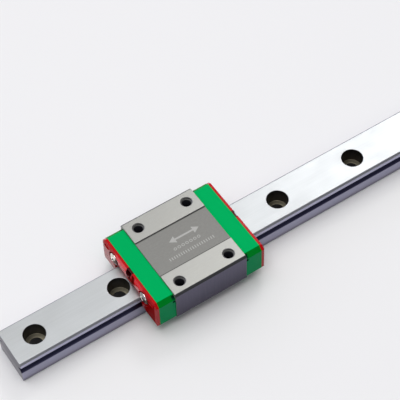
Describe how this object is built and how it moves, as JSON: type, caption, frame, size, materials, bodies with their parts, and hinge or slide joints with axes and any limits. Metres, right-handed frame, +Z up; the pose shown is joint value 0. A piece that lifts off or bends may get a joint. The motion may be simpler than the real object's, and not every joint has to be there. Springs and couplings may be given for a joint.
{
  "type": "linear guide carriage",
  "caption": "Miniature recirculating-ball carriage with plastic end caps and end seals, sliding on a length of grooved, counterbored steel rail.",
  "frame": {"origin": "centre of the rail's foot, on the surface that the rail is screwed to", "axes": "+X along the rail, towards the carriage's rear end; +Y across it, to the left; +Z up through the carriage's mounting face"},
  "size_m": [0.14, 0.027, 0.013],
  "materials": {
    "rail_steel": "finely ground hardened steel",
    "block_steel": "ground top strips, matte recess and dark drawn sides",
    "cap_plastic": "moulded satin green plastic",
    "seal_plastic": "glossy red moulded plastic",
    "guide_plastic": "moulded satin green plastic",
    "screw_steel": "bright plated steel",
    "ball_steel": "polished bearing steel",
    "wire_steel": "drawn stainless wire"
  },
  "bodies": {
    "rail": {"rail": "rail_steel"},
    "carriage": {"carriage_block": "block_steel", "end_cap_front": "cap_plastic", "end_cap_rear": "cap_plastic", "end_seal_front": "seal_plastic", "end_seal_rear": "seal_plastic", "cap_screw_front_left": "screw_steel", "cap_screw_front_right": "screw_steel", "cap_screw_rear_left": "screw_steel", "cap_screw_rear_right": "screw_steel", "retainer_wire_left": "wire_steel", "retainer_wire_right": "wire_steel", "return_guide_front_left": "guide_plastic", "return_guide_front_right": "guide_plastic", "return_guide_rear_left": "guide_plastic", "return_guide_rear_right": "guide_plastic", "load_balls_left": "ball_steel", "load_balls_right": "ball_steel", "return_balls_left": "ball_steel", "return_balls_right": "ball_steel", "turn_balls_front_left": "ball_steel", "turn_balls_front_right": "ball_steel", "turn_balls_rear_left": "ball_steel", "turn_balls_rear_right": "ball_steel"}
  },
  "joints": [
    {"name": "carriage_slide", "type": "slide", "parent": "rail", "child": "carriage", "axis": [1, 0, 0], "range_m": [-0.035, 0.07]}
  ]
}
